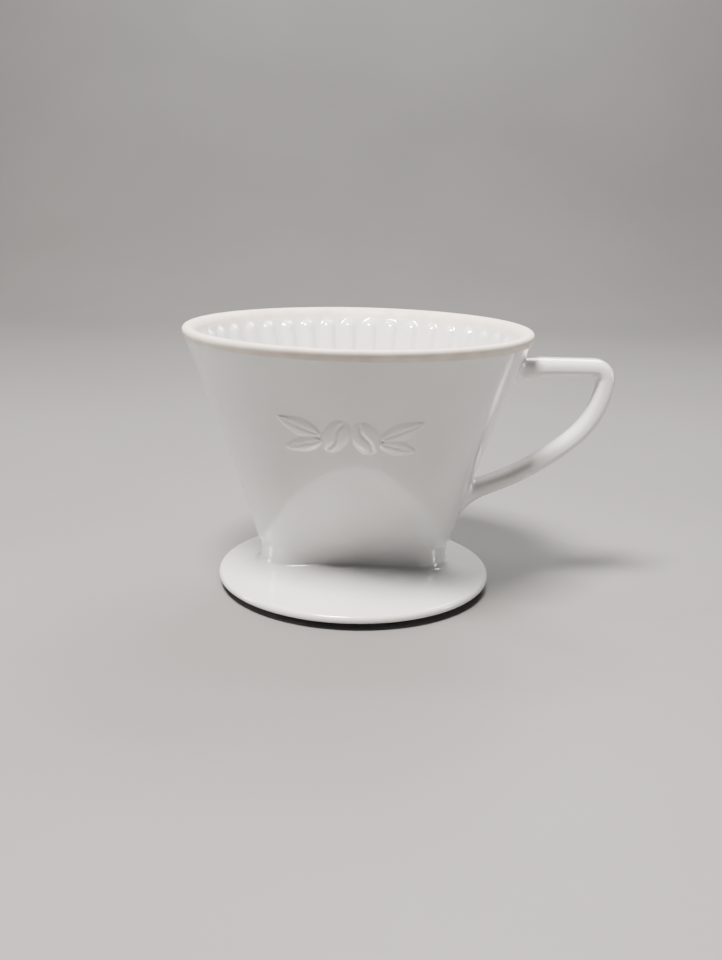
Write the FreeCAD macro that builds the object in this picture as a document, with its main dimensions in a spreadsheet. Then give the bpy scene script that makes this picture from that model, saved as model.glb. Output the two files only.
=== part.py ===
import FreeCAD, Part
import math
import os
import Sketcher

# A pour over dripper: an oval, ribbed porcelain cone with a loop handle, standing on a round plate.
# Millimetres. Z is up, X runs towards the handle, and the origin is at the middle of the foot of the
# centering ring, on the surface that the ring stands on.
SIZES = {
    # The cone's outside, as ovals of four tangent arcs: half length, half depth and end radius.
    "rim_height": 96.3,
    "rim_half_length": 63.6,
    "rim_half_depth": 58.4,
    "rim_end_radius": 54.0,
    "waist_height": 18.3,
    "waist_half_length": 36.7,
    "waist_half_depth": 15.85,
    "waist_end_radius": 14.75,
    "wall_bow": 0.9,
    "shoulder_half_length": 35.6,
    "shoulder_half_depth": 15.4,
    "shoulder_end_radius": 14.3,
    "neck_height": 12.6,
    "neck_half_length": 35.3,
    "neck_half_depth": 14.0,
    "neck_end_radius": 13.0,
    "lip_round": 2.1,
    # The space inside the cone.
    "mouth_half_length": 58.5,
    "mouth_half_depth": 53.3,
    "mouth_end_radius": 48.9,
    "floor_height": 10.0,
    "floor_half_length": 30.2,
    "floor_half_depth": 7.5,
    "floor_end_radius": 6.8,
    "drain_diameter": 3.6,
    "drain_spacing": 16.0,
    # Ribs on the inner wall: radius of each ridge and how far it stands proud, at its top and its foot.
    "ribs_per_end": 8,
    "ribs_per_side": 12,
    "rib_top_height": 89.8,
    "rib_top_radius": 3.4,
    "rib_top_rise": 1.2,
    "rib_foot_radius": 1.0,
    "rib_foot_rise": 0.6,
    # The plate and the ring under it.
    "plate_radius": 50.75,
    "plate_underside": 2.6,
    "plate_edge_top": 5.2,
    "plate_crown": 10.35,
    "plate_round": 1.1,
    "recess_radius": 27.8,
    "recess_roof": 5.5,
    "ring_outer_radius": 32.5,
    "ring_inner_radius": 29.0,
    "ring_round": 0.5,
    # The handle's centre line: a level arm, a corner, a grip and a long sweep back to the cone.
    "arm_height": 83.2,
    "arm_start": 50.0,
    "corner_radius": 4.6,
    "grip_radius": 31.8,
    "grip_centre_x": 58.2,
    "grip_centre_z": 80.4,
    "sweep_radius": 97.5,
    "sweep_end_x": 36.0,
    "sweep_end_z": 34.4,
    "handle_half_width": 4.75,
    "handle_half_thickness": 3.3,
    "handle_end_radius": 2.4,
    # Slip that joins the pieces: the radius of each fillet.
    "upper_slip_radius": 1.6,
    "lower_slip_radius": 2.0,
    "neck_bead_radius": 2.2,
    "ring_bead_radius": 1.2,
}

WALL_STEPS = 4  # sections up the flaring wall, less one
EDGE_MARGIN = 0.02

doc = FreeCAD.newDocument("Dripper")


def make_sheet():
    """Puts every driving size in its own cell, under its own name."""
    cells = doc.addObject("Spreadsheet::Sheet", "Sizes")
    for row, (alias, value) in enumerate(SIZES.items(), start=1):
        cells.set(f"A{row}", alias)
        cells.set(f"B{row}", str(value))
        cells.setAlias(f"B{row}", alias)
    doc.recompute()
    return cells


sheet = make_sheet()


def size(expression):
    """The value of a size, or of a sum of sizes, as the sheet has it."""
    return float(sheet.evalExpression(expression))


def make_body(label):
    body = doc.addObject("PartDesign::Body", label + "_body")
    body.Label = label
    return body


def origin_plane(body, role):
    return next(item for item in body.Origin.OriginFeatures if item.Role == role)


def add_sketch(body, name, role, **shift):
    """A sketch on one of the body's origin planes, moved along its own x, y and z by expressions."""
    sketch = body.newObject("Sketcher::SketchObject", name)
    sketch.AttachmentSupport = [(origin_plane(body, role), "")]
    sketch.MapMode = "FlatFace"
    for axis, expression in shift.items():
        sketch.setExpression(f".AttachmentOffset.Base.{axis}", expression)
    return sketch


def dimension(sketch, name, expression, kind, *geometry):
    """Adds a constraint whose value is an expression on the sheet."""
    index = sketch.addConstraint(Sketcher.Constraint(kind, *geometry, size(expression)))
    sketch.renameConstraint(index, name)
    sketch.setExpression(f"Constraints.{name}", expression)


def constrain(sketch, kind, *geometry):
    sketch.addConstraint(Sketcher.Constraint(kind, *geometry))


def add_arc(sketch, centre, radius, first, last):
    circle = Part.Circle(FreeCAD.Vector(*centre, 0), FreeCAD.Vector(0, 0, 1), radius)
    sketch.addGeometry(Part.ArcOfCircle(circle, first, last))


def oval_arcs(half_length, half_depth, end_radius):
    """Centre, radius and angles of an oval's four tangent arcs, from the +X end round by +Y."""
    reach = half_length - end_radius
    side = (reach**2 + half_depth**2 - end_radius**2) / (2 * (half_depth - end_radius))
    drop = side - half_depth
    join = math.atan2(drop, reach)
    return [
        ((reach, 0), end_radius, -join, join),
        ((0, -drop), side, join, math.pi - join),
        ((-reach, 0), end_radius, math.pi - join, math.pi + join),
        ((0, drop), side, math.pi + join, 2 * math.pi - join),
    ]


def draw_oval(sketch, half_length, half_depth, end_radius):
    """Draws an oval about the sketch's own origin; its three sizes are expressions on the sheet."""
    for arc in oval_arcs(size(half_length), size(half_depth), size(end_radius)):
        add_arc(sketch, *arc)
    for arc in range(4):
        constrain(sketch, "Tangent", arc, 2, (arc + 1) % 4, 1)
    constrain(sketch, "PointOnObject", 0, 3, -1)
    constrain(sketch, "Symmetric", 0, 3, 2, 3, -1, 1)
    constrain(sketch, "PointOnObject", 1, 3, -2)
    constrain(sketch, "Equal", 1, 3)
    reach = f"({half_length} - ({end_radius}))"
    spread = f"({half_depth} - ({end_radius}))"
    side = f"({reach}^2 + ({half_depth})^2 - ({end_radius})^2) / (2 * {spread})"
    dimension(sketch, "reach", reach, "DistanceX", -1, 1, 0, 3)
    dimension(sketch, "end_radius", end_radius, "Radius", 0)
    dimension(sketch, "side_radius", side, "Radius", 1)


def oval_sketch(body, name, prefix, height):
    """An oval across the body at a height, with the sizes that the sheet keeps under a prefix."""
    sketch = add_sketch(body, name, "XY_Plane", z=height)
    sizes = [f"Sizes.{prefix}_{part}" for part in ("half_length", "half_depth", "end_radius")]
    draw_oval(sketch, *sizes)
    return sketch


def draw_outline(sketch, corners, arcs=()):
    """Draws a closed outline. Corners are pairs of expressions, and arcs gives the centres of the
    sides that are round, by the number of the corner that each starts from."""
    arcs = dict(arcs)
    points = [FreeCAD.Vector(size(x), size(y), 0) for x, y in corners]
    ends = []
    for side, start in enumerate(points):
        finish = points[(side + 1) % len(points)]
        if side not in arcs:
            sketch.addGeometry(Part.LineSegment(start, finish))
            ends.append((1, 2))
            continue
        centre = FreeCAD.Vector(size(arcs[side][0]), size(arcs[side][1]), 0)
        angles = [math.atan2(point.y - centre.y, point.x - centre.x) for point in (start, finish)]
        add_arc(sketch, centre[:2], centre.distanceToPoint(start), min(angles), max(angles))
        ends.append((1, 2) if angles[0] < angles[1] else (2, 1))
        dimension(sketch, f"centre_{side}", arcs[side][0], "DistanceX", -1, 1, side, 3)
    for side, (x, y) in enumerate(corners):
        before = (side - 1) % len(corners)
        constrain(sketch, "Coincident", before, ends[before][1], side, ends[side][0])
        dimension(sketch, f"x_{side}", x, "DistanceX", -1, 1, side, ends[side][0])
        dimension(sketch, f"y_{side}", y, "DistanceY", -1, 1, side, ends[side][0])


def revolve(body, name, sketch):
    """Turns a sketch on the XZ plane all the way round the Z axis."""
    turned = body.newObject("PartDesign::Revolution", name)
    turned.Profile = sketch
    turned.ReferenceAxis = (sketch, ["V_Axis"])
    turned.Angle = 360
    doc.recompute()
    return turned


def round_edges(body, name, base, edges, radius):
    """Rounds some edges of a body's last feature."""
    fillet = body.newObject("PartDesign::Fillet", name)
    fillet.Base = (base, edges)
    fillet.setExpression("Radius", radius)
    body.Tip = fillet
    doc.recompute()
    return fillet


def edges_between(shape, low, high):
    """Names of the edges that lie in a box, given by two of its corners."""
    box = FreeCAD.BoundBox(*low, *high)
    box.enlarge(EDGE_MARGIN)
    return [
        f"Edge{index}"
        for index, edge in enumerate(shape.Edges, start=1)
        if box.isInside(edge.optimalBoundingBox())
    ]


def wall_sizes(fraction):
    """The oval of the cone's outside at a fraction of the way from its waist to its rim."""
    sag = f"4 * Sizes.wall_bow * {fraction} * (1 - {fraction})"
    return [
        f"(Sizes.waist_{part} + {fraction} * (Sizes.rim_{part} - Sizes.waist_{part}) - {sag})"
        for part in ("half_length", "half_depth", "end_radius")
    ]


def make_cone_blank():
    """The outside of the cone as one solid: an upright neck, a shoulder and the flaring wall."""
    body = make_body("cone_blank")
    neck = body.newObject("PartDesign::Pad", "neck")
    neck.Profile = oval_sketch(body, "neck_outline", "neck", "Sizes.recess_roof")
    neck.setExpression("Length", "Sizes.neck_height - Sizes.recess_roof")
    doc.recompute()
    shoulder = body.newObject("PartDesign::AdditiveLoft", "shoulder")
    shoulder.Profile = oval_sketch(body, "shoulder_foot_outline", "neck", "Sizes.neck_height")
    shoulder.Sections = [oval_sketch(body, "shoulder_outline", "shoulder", "Sizes.waist_height")]
    doc.recompute()
    sections = []
    for step in range(WALL_STEPS + 1):
        fraction = step / WALL_STEPS
        height = f"Sizes.waist_height + {fraction} * (Sizes.rim_height - Sizes.waist_height)"
        section = add_sketch(body, f"wall_outline_{step}", "XY_Plane", z=height)
        draw_oval(section, *wall_sizes(fraction))
        sections.append(section)
    wall = body.newObject("PartDesign::AdditiveLoft", "wall")
    wall.Profile = sections[0]
    wall.Sections = sections[1:]
    body.Tip = wall
    doc.recompute()
    return body


def make_cavity():
    """The space inside the cone, from its floor to its mouth."""
    body = make_body("cavity")
    cavity = body.newObject("PartDesign::AdditiveLoft", "cavity_loft")
    cavity.Profile = oval_sketch(body, "floor_outline", "floor", "Sizes.floor_height")
    cavity.Sections = [oval_sketch(body, "mouth_outline", "mouth", "Sizes.rim_height")]
    doc.recompute()
    return body


def inner_ruling(arc, fraction):
    """Foot and top of a line down the inner wall, and the way out of the wall at each."""
    line = []
    for prefix, height in (("floor", "floor_height"), ("mouth", "rim_height")):
        names = (f"Sizes.{prefix}_{part}" for part in ("half_length", "half_depth", "end_radius"))
        centre, radius, first, last = oval_arcs(*(size(name) for name in names))[arc]
        angle = first + fraction * (last - first)
        outward = FreeCAD.Vector(math.cos(angle), math.sin(angle), 0)
        line.append((FreeCAD.Vector(*centre, size(f"Sizes.{height}")) + radius * outward, outward))
    return line


def make_ribs():
    """Round ridges that lean along the inner wall, each a tapered rod with a ball at its top."""
    rods = []
    rib_length = size("Sizes.rib_top_height - Sizes.floor_height")
    share = rib_length / size("Sizes.rim_height - Sizes.floor_height")
    foot_depth = size("Sizes.rib_foot_radius - Sizes.rib_foot_rise")
    top_depth = size("Sizes.rib_top_radius - Sizes.rib_top_rise")
    for arc in range(4):
        count = int(size("Sizes.ribs_per_side" if arc % 2 else "Sizes.ribs_per_end"))
        for place in range(count):
            (foot, foot_outward), (mouth, mouth_outward) = inner_ruling(arc, (place + 0.5) / count)
            top = foot + share * (mouth - foot)
            foot = foot + foot_depth * foot_outward
            top = top + top_depth * mouth_outward
            along = top - foot
            turn = FreeCAD.Rotation(FreeCAD.Vector(0, 0, 1), along)
            rod = doc.addObject("Part::Cone", f"rib_rod_{arc}_{place}")
            rod.setExpression("Radius1", "Sizes.rib_foot_radius")
            rod.setExpression("Radius2", "Sizes.rib_top_radius")
            rod.Height = along.Length
            rod.Placement = FreeCAD.Placement(foot, turn)
            ball = doc.addObject("Part::Sphere", f"rib_ball_{arc}_{place}")
            ball.setExpression("Radius", "Sizes.rib_top_radius")
            ball.Placement = FreeCAD.Placement(top, turn)
            rods += [rod, ball]
    return rods


def boolean(kind, name, base, tool):
    """A Part::Cut or Part::Fuse of two objects."""
    result = doc.addObject(f"Part::{kind}", name)
    result.Base = base
    result.Tool = tool
    doc.recompute()
    return result


def make_filter_cone(blank):
    """The cone: its outside less its ribbed cavity, with drain holes in the floor and a round lip."""
    ribs = doc.addObject("Part::MultiFuse", "ribs")
    ribs.Shapes = make_ribs()
    doc.recompute()
    hollow = boolean("Cut", "ribbed_cavity", make_cavity(), ribs)
    body = make_body("filter_cone")
    body.BaseFeature = boolean("Cut", "cone_shell", blank, hollow)
    doc.recompute()
    outline = add_sketch(body, "drain_outline", "XY_Plane", z="Sizes.floor_height")
    for hole, place in enumerate((-1, 0, 1)):
        middle = FreeCAD.Vector(size(f"{place} * Sizes.drain_spacing"), 0, 0)
        radius = size("Sizes.drain_diameter / 2")
        outline.addGeometry(Part.Circle(middle, FreeCAD.Vector(0, 0, 1), radius))
        constrain(outline, "PointOnObject", hole, 3, -1)
        middle_x = f"{place} * Sizes.drain_spacing"
        dimension(outline, f"middle_{hole}", middle_x, "DistanceX", -1, 1, hole, 3)
        dimension(outline, f"diameter_{hole}", "Sizes.drain_diameter", "Diameter", hole)
    drains = body.newObject("PartDesign::Pocket", "drains")
    drains.Profile = outline
    drains.setExpression("Length", "Sizes.floor_height - Sizes.recess_roof")
    doc.recompute()
    reach = size("Sizes.rim_half_length")
    top = size("Sizes.rim_height")
    rim = edges_between(drains.Shape, (-reach, -reach, top), (reach, reach, top))
    round_edges(body, "lip", drains, rim, "Sizes.lip_round")
    return body


def make_base_plate():
    """The round plate: a shallow dome on top, a rounded edge, a recess below and a socket above it."""
    body = make_body("base_plate")
    outline = add_sketch(body, "plate_outline", "XZ_Plane")
    dome_radius = (
        "(Sizes.plate_radius^2 + (Sizes.plate_crown - Sizes.plate_edge_top)^2)"
        " / (2 * (Sizes.plate_crown - Sizes.plate_edge_top))"
    )
    corners = [
        ("0", "Sizes.recess_roof"),
        ("Sizes.recess_radius", "Sizes.recess_roof"),
        ("Sizes.recess_radius", "Sizes.plate_underside"),
        ("Sizes.ring_outer_radius", "Sizes.plate_underside"),
        ("Sizes.plate_radius", "Sizes.plate_underside"),
        ("Sizes.plate_radius", "Sizes.plate_edge_top"),
        ("0", "Sizes.plate_crown"),
    ]
    draw_outline(outline, corners, {5: ("0", f"Sizes.plate_crown - {dome_radius}")})
    disc = revolve(body, "disc", outline)
    socket = body.newObject("PartDesign::Pocket", "socket")
    socket.Profile = oval_sketch(body, "socket_outline", "neck", "Sizes.plate_crown")
    socket.setExpression("Length", "Sizes.plate_crown - Sizes.recess_roof")
    doc.recompute()
    reach = size("Sizes.plate_radius")
    bottom = size("Sizes.plate_underside")
    edge_top = size("Sizes.plate_edge_top")
    rims = [
        name
        for name in edges_between(socket.Shape, (-reach, -reach, bottom), (reach, reach, edge_top))
        if socket.Shape.getElement(name).BoundBox.XMax > reach - EDGE_MARGIN
        and socket.Shape.getElement(name).Curve.TypeId == "Part::GeomCircle"
    ]
    edge = round_edges(body, "plate_edge", socket, rims, "Sizes.plate_round")
    # unrefined, the underside stays split where the ring's footprint ends and a pot's rim can bear
    for feature in (disc, socket, edge):
        feature.Refine = False
    doc.recompute()
    check_cut(disc, socket)
    return body


def check_cut(before, after):
    """Stops if a pocket took nothing away."""
    if after.Shape.Volume > before.Shape.Volume - EDGE_MARGIN:
        raise RuntimeError(f"{after.Name} cuts nothing")


def make_centering_ring():
    """The low ring under the plate, which drops into the mouth of a pot."""
    body = make_body("centering_ring")
    outline = add_sketch(body, "ring_outline", "XZ_Plane")
    corners = [
        ("Sizes.ring_inner_radius", "0"),
        ("Sizes.ring_outer_radius", "0"),
        ("Sizes.ring_outer_radius", "Sizes.plate_underside"),
        ("Sizes.ring_inner_radius", "Sizes.plate_underside"),
    ]
    draw_outline(outline, corners)
    ring = revolve(body, "ring", outline)
    reach = size("Sizes.ring_outer_radius")
    foot = edges_between(ring.Shape, (-reach, -reach, 0), (reach, reach, 0))
    round_edges(body, "ring_foot", ring, foot, "Sizes.ring_round")
    return body


def make_ring_slip_bead():
    """The slip left in the corner between the ring's inner wall and the plate."""
    body = make_body("ring_slip_bead")
    outline = add_sketch(body, "bead_outline", "XZ_Plane")
    inside = "Sizes.ring_inner_radius - Sizes.ring_bead_radius"
    below = "Sizes.plate_underside - Sizes.ring_bead_radius"
    corners = [
        (inside, "Sizes.plate_underside"),
        ("Sizes.ring_inner_radius", below),
        ("Sizes.ring_inner_radius", "Sizes.plate_underside"),
    ]
    draw_outline(outline, corners, {0: (inside, below)})
    revolve(body, "bead", outline)
    return body


def draw_handle_line(sketch):
    """The handle's centre line: a level arm, a corner, a grip and a long sweep, all tangent."""
    arm = size("Sizes.arm_height")
    corner = size("Sizes.corner_radius")
    grip = size("Sizes.grip_radius")
    sweep = size("Sizes.sweep_radius")
    grip_centre = FreeCAD.Vector(size("Sizes.grip_centre_x"), size("Sizes.grip_centre_z"), 0)
    end = FreeCAD.Vector(size("Sizes.sweep_end_x"), size("Sizes.sweep_end_z"), 0)
    rise = arm - corner - grip_centre.y
    corner_centre = grip_centre + FreeCAD.Vector(math.sqrt((grip - corner) ** 2 - rise**2), rise, 0)
    to_corner = corner_centre - grip_centre
    lean = math.atan2(to_corner.y, to_corner.x)
    # The sweep's centre is the far corner of a triangle on the grip's centre and the sweep's end.
    chord = end - grip_centre
    to_grip = sweep - grip
    along = (to_grip**2 - sweep**2 + chord.Length**2) / (2 * chord.Length)
    across = math.sqrt(to_grip**2 - along**2)
    side = FreeCAD.Vector(chord.y, -chord.x, 0).normalize()
    sweep_centre = grip_centre + chord.normalize() * along + side * across
    leave = math.atan2(grip_centre.y - sweep_centre.y, grip_centre.x - sweep_centre.x)
    last = math.atan2(end.y - sweep_centre.y, end.x - sweep_centre.x)
    start = FreeCAD.Vector(size("Sizes.arm_start"), arm, 0)
    sketch.addGeometry(Part.LineSegment(start, FreeCAD.Vector(corner_centre.x, arm, 0)))
    add_arc(sketch, corner_centre[:2], corner, lean, math.pi / 2)
    add_arc(sketch, grip_centre[:2], grip, leave, lean)
    add_arc(sketch, sweep_centre[:2], sweep, last, leave)
    constrain(sketch, "Horizontal", 0)
    constrain(sketch, "Tangent", 0, 2, 1, 2)
    constrain(sketch, "Tangent", 1, 1, 2, 2)
    constrain(sketch, "Tangent", 2, 1, 3, 2)
    dimension(sketch, "arm_start", "Sizes.arm_start", "DistanceX", -1, 1, 0, 1)
    dimension(sketch, "arm_height", "Sizes.arm_height", "DistanceY", -1, 1, 0, 1)
    dimension(sketch, "corner_radius", "Sizes.corner_radius", "Radius", 1)
    dimension(sketch, "grip_radius", "Sizes.grip_radius", "Radius", 2)
    dimension(sketch, "grip_centre_x", "Sizes.grip_centre_x", "DistanceX", -1, 1, 2, 3)
    dimension(sketch, "grip_centre_z", "Sizes.grip_centre_z", "DistanceY", -1, 1, 2, 3)
    dimension(sketch, "sweep_radius", "Sizes.sweep_radius", "Radius", 3)
    dimension(sketch, "sweep_end_x", "Sizes.sweep_end_x", "DistanceX", -1, 1, 3, 1)
    dimension(sketch, "sweep_end_z", "Sizes.sweep_end_z", "DistanceY", -1, 1, 3, 1)


def make_handle(blank):
    """The loop handle, an oval section along its centre line, cut off where it meets the cone."""
    body = make_body("handle_loop")
    line = add_sketch(body, "handle_line", "XZ_Plane")
    draw_handle_line(line)
    section = add_sketch(body, "handle_section", "YZ_Plane", y="Sizes.arm_height", z="Sizes.arm_start")
    sizes = ("handle_half_width", "handle_half_thickness", "handle_end_radius")
    draw_oval(section, *(f"Sizes.{name}" for name in sizes))
    doc.recompute()
    loop = body.newObject("PartDesign::AdditivePipe", "loop")
    loop.Profile = section
    loop.Spine = line
    doc.recompute()
    handle = boolean("Cut", "handle_cut", body, blank)
    handle.Label = "handle"
    return handle


def make_slip(label, joined, low, high, radius):
    """The slip along the edges in a box, where two joined pieces meet, as a solid of its own."""
    rounded = doc.addObject("Part::Fillet", label + "_rounded")
    rounded.Base = joined
    names = edges_between(joined.Shape, low, high)
    rounded.Edges = [(int(name[4:]), size(radius), size(radius)) for name in names]
    doc.recompute()
    slip = boolean("Cut", label + "_cut", rounded, joined)
    slip.Label = label
    return slip


def make_handle_slips(blank, handle):
    """The slip round each end of the handle."""
    joined = boolean("Fuse", "cone_and_handle", blank, handle)
    half = size("Sizes.handle_half_width")
    reach = size("Sizes.rim_half_length")
    arm = size("Sizes.arm_height")
    split = (arm + size("Sizes.waist_height")) / 2
    waist = size("Sizes.waist_height")
    upper_box = ((0, -half, split), (reach, half, arm + half))
    lower_box = ((0, -half, waist + 1), (reach, half, split))
    return [
        make_slip("upper_handle_slip", joined, *upper_box, "Sizes.upper_slip_radius"),
        make_slip("lower_handle_slip", joined, *lower_box, "Sizes.lower_slip_radius"),
    ]


def make_neck_slip_bead(blank, plate):
    """The slip round the foot of the neck, on the plate."""
    joined = boolean("Fuse", "cone_and_plate", blank, plate)
    reach = size("Sizes.neck_half_length")
    depth = size("Sizes.neck_half_depth")
    low = size("(2 * Sizes.recess_roof + Sizes.plate_crown) / 3")
    high = size("Sizes.plate_crown")
    box = ((-reach, -depth, low), (reach, depth, high))
    return make_slip("neck_slip_bead", joined, *box, "Sizes.neck_bead_radius")


def check_document():
    """Stops if any object of the document failed, or has no sound shape."""
    for item in doc.Objects:
        if {"Invalid", "Error"} & set(item.State):
            raise RuntimeError(f"{item.Name} failed: {item.State}")


def write_nodes(nodes):
    """Writes each sub-part to a STEP file named for it."""
    os.makedirs("parts", exist_ok=True)
    for node in nodes:
        shape = node.Shape
        if shape.isNull() or not shape.isValid():
            raise RuntimeError(f"{node.Label} has no sound shape")
        shape.exportStep(f"parts/{node.Label}.step")
        print(f"{node.Label}: {len(shape.Solids)} solid, {shape.Volume / 1000:.1f} cubic cm")


cone_blank = make_cone_blank()
filter_cone = make_filter_cone(cone_blank)
base_plate = make_base_plate()
handle = make_handle(cone_blank)
upper_handle_slip, lower_handle_slip = make_handle_slips(cone_blank, handle)
neck_slip_bead = make_neck_slip_bead(cone_blank, base_plate)
centering_ring = make_centering_ring()
ring_slip_bead = make_ring_slip_bead()
check_document()
write_nodes(
    [
        filter_cone,
        base_plate,
        handle,
        upper_handle_slip,
        lower_handle_slip,
        neck_slip_bead,
        centering_ring,
        ring_slip_bead,
    ]
)
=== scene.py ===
import math

import bpy
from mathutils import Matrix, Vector


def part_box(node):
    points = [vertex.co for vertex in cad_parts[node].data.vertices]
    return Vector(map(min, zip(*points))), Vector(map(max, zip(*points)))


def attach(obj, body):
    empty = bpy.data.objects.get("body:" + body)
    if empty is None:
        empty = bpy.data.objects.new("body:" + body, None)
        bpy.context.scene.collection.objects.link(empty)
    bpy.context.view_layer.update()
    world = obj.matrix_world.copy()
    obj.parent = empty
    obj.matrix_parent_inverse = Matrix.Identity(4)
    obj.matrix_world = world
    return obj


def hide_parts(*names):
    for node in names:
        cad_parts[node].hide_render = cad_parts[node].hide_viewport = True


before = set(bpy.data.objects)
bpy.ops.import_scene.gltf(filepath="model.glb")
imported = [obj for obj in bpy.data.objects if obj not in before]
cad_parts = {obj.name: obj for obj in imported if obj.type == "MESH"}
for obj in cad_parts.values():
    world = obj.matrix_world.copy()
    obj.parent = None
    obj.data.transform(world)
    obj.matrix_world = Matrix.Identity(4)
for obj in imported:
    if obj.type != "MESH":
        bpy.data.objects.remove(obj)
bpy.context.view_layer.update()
mm = 0.001
weldGap = 0.004 * mm
print("frame loaded")


def selectNothing():
    if bpy.context.mode == "EDIT_MESH":
        bpy.ops.mesh.select_all(action="DESELECT")
    else:
        bpy.ops.object.select_all(action="DESELECT")


def takeUp(piece):
    # makes one object the only selected and active one
    selectNothing()
    piece.select_set(True)
    bpy.context.view_layer.objects.active = piece


def tidyMesh(piece, angle):
    # welds seams and poles, turns the faces outwards and smooths all but the sharp edges
    takeUp(piece)
    bpy.ops.object.mode_set(mode="EDIT")
    bpy.ops.mesh.select_all(action="SELECT")
    bpy.ops.mesh.remove_doubles(threshold=weldGap)
    bpy.ops.mesh.normals_make_consistent(inside=False)
    bpy.ops.object.mode_set(mode="OBJECT")
    bpy.ops.object.shade_smooth_by_angle(angle=math.radians(angle))


def closeEnds(piece):
    # welds the seam of a tube and fills its two open ends
    takeUp(piece)
    bpy.ops.object.mode_set(mode="EDIT")
    bpy.ops.mesh.select_all(action="SELECT")
    bpy.ops.mesh.remove_doubles(threshold=weldGap)
    bpy.ops.mesh.fill_holes(sides=0)
    bpy.ops.mesh.normals_make_consistent(inside=False)
    bpy.ops.object.mode_set(mode="OBJECT")


def wrapGrid(name, columns, rows, place):
    # a flat grid is wrapped round: place gives the point, in millimetres, for a column and a row
    selectNothing()
    bpy.ops.mesh.primitive_grid_add(x_subdivisions=columns, y_subdivisions=rows, size=2)
    piece = bpy.context.active_object
    piece.name = name
    piece.data.name = name
    for vertex in piece.data.vertices:
        column = round((vertex.co.x + 1) / 2 * columns)
        row = round((vertex.co.y + 1) / 2 * rows)
        vertex.co = Vector(place(column, row)) * mm
    return piece


def applyModifiers(piece):
    takeUp(piece)
    for modifier in list(piece.modifiers):
        bpy.ops.object.modifier_apply(modifier=modifier.name)


def cutAway(piece, cutter):
    # takes the cutter's shape out of the piece
    cut = piece.modifiers.new("cut", "BOOLEAN")
    cut.operation = "DIFFERENCE"
    cut.solver = "EXACT"
    cut.object = cutter
    applyModifiers(piece)
    bpy.data.objects.remove(cutter)


def standFor(piece, node):
    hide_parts(node)
    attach(piece, "root")


def smooth(share):
    share = min(max(share, 0), 1)
    return share * share * (3 - 2 * share)


def between(low, high, share):
    return [a + (b - a) * share for a, b in zip(low, high)]


def ovalArcs(sizes):
    # an oval of four tangent arcs, given as half length, half depth and end radius
    halfLength, halfDepth, endRadius = sizes
    reach = halfLength - endRadius
    side = (reach**2 + halfDepth**2 - endRadius**2) / (2 * (halfDepth - endRadius))
    drop = side - halfDepth
    join = math.atan2(drop, reach)
    return [
        (reach, 0, endRadius, -join, join),
        (0, -drop, side, join, math.pi - join),
        (-reach, 0, endRadius, math.pi - join, math.pi + join),
        (0, drop, side, math.pi + join, 2 * math.pi - join),
    ]


def ovalPoint(sizes, arc, share):
    # the point on an oval, and the way out of it there
    x, y, radius, first, last = ovalArcs(sizes)[arc]
    angle = first + (last - first) * share
    return x + radius * math.cos(angle), y + radius * math.sin(angle), math.cos(angle), math.sin(angle)


def grown(sizes, by):
    return [size + by for size in sizes]


coneShape = {
    "rim": (63.4, 57.85, 53.5),  # half length, half depth and end radius, in millimetres
    "waist": (36.7, 15.85, 14.75),
    "neck": (35.3, 14.0, 13.0),
    "mouth": (58.4, 53.2, 48.8),
    "floor": (30.2, 7.5, 6.8),
    "waistHeight": 18.3,
    "ledge": (15.2, 18.1),  # heights between which the ends step out of the neck
    "armpit": 2.4,  # how softly the long sides swing out of the neck
    "floorHeight": 10.0,
    "wallBow": 0.9,
    "lipDepth": 2.6,
    "ribs": (8, 12, 8, 12),  # ribs on each arc
    "ribTop": 89.6,
    "ribRise": (0.6, 1.45),  # at the foot and at the top
    "ribHalf": (0.9, 2.95),
    "columnsPerRib": 16,
    "drainRadius": 1.8,
    "drainSpacing": 16.0,
    "drainFlare": 0.7,
    "drainSides": 48,
    "pinch": (0.4, 8.5),  # how far the neck draws in at its ends, and the height where that starts
    "lipPull": 0.58,  # how square the lip's two corners are
    "smoothAngle": 35,
}
coneLow, coneHigh = (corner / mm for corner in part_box("filter_cone"))
rimHeight = coneHigh.z
neckFoot = coneLow.z


def wallSizes(height):
    share = (height - coneShape["waistHeight"]) / (rimHeight - coneShape["waistHeight"])
    sag = 4 * coneShape["wallBow"] * share * (1 - share)
    return grown(between(coneShape["waist"], coneShape["rim"], share), -sag)


def outsideSizes(height):
    # the ends step out over a small ledge, and the long sides swing out of the neck with no crease
    low, high = coneShape["ledge"]
    halfLength, halfDepth, endRadius = wallSizes(height)
    neckLength, neckDepth, _ = coneShape["neck"]
    mostPinch, start = coneShape["pinch"]
    pinch = mostPinch * math.sin(math.pi * min(max((height - start) / (low - start), 0), 1))
    pinched = neckLength - pinch
    length = pinched + (halfLength - pinched) * smooth((height - low) / (high - low))
    fill = max(coneShape["armpit"] - abs(halfDepth - neckDepth), 0) ** 2 / (4 * coneShape["armpit"])
    depth = max(halfDepth, neckDepth) + fill
    return length, depth, depth * endRadius / halfDepth


reliefShape = {
    "middle": (-1.6, 64.6),  # along X and up, in millimetres
    "rise": 0.85,
    # place, tilt in degrees, half length and half width
    "beans": [(-5.0, 0.3, 64, 6.4, 4.4), (5.0, -0.3, 116, 6.4, 4.4)],
    "leaves": [
        # foot, direction in degrees, length and half width
        (-10.2, 0.6, 158, 15.5, 3.3),
        (-9.6, -1.6, 196, 13.0, 2.9),
        (10.2, -0.6, 22, 15.5, 3.3),
        (9.6, -2.2, -16, 13.0, 2.9),
    ],
}


def beanRise(u, v, halfLength, halfWidth):
    # a plump half bean with a curved groove down its middle
    away = math.hypot(u / halfLength, v / halfWidth)
    groove = math.exp(-(((v - 0.5 * math.sin(u * 0.62)) / 0.62) ** 2)) * smooth((1 - away) / 0.25)
    return max(1 - away**3, 0) ** 0.7 - 0.62 * groove


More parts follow.
